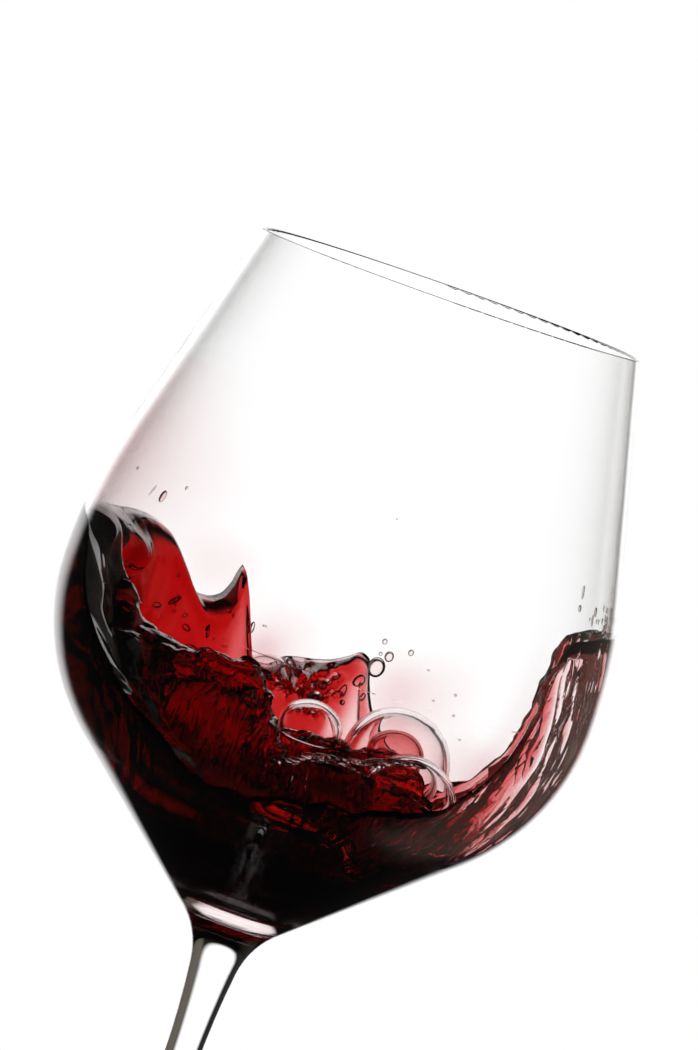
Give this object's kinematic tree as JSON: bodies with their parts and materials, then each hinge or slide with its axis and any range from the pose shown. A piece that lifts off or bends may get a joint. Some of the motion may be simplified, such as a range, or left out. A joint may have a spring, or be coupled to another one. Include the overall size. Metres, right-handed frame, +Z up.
{
  "type": "glass of red wine",
  "caption": "Tall stemmed glass with a wide tapering bowl, holding red wine caught in mid swirl, with a crest on one side and a poured sheet on the other.",
  "frame": {"origin": "middle of the foot's underside, at the height of its resting ring", "axes": "+Z up the axis of the glass, +X towards the side where the wine was poured in, +Y towards the far side, where the wine stands high"},
  "size_m": [0.1084, 0.1084, 0.24],
  "materials": {
    "crystal": "clear polished crystal glass",
    "red_wine": "dark red liquid with a glossy free surface"
  },
  "bodies": {
    "root": {"glass": "crystal", "wine": "red_wine"}
  },
  "joints": []
}
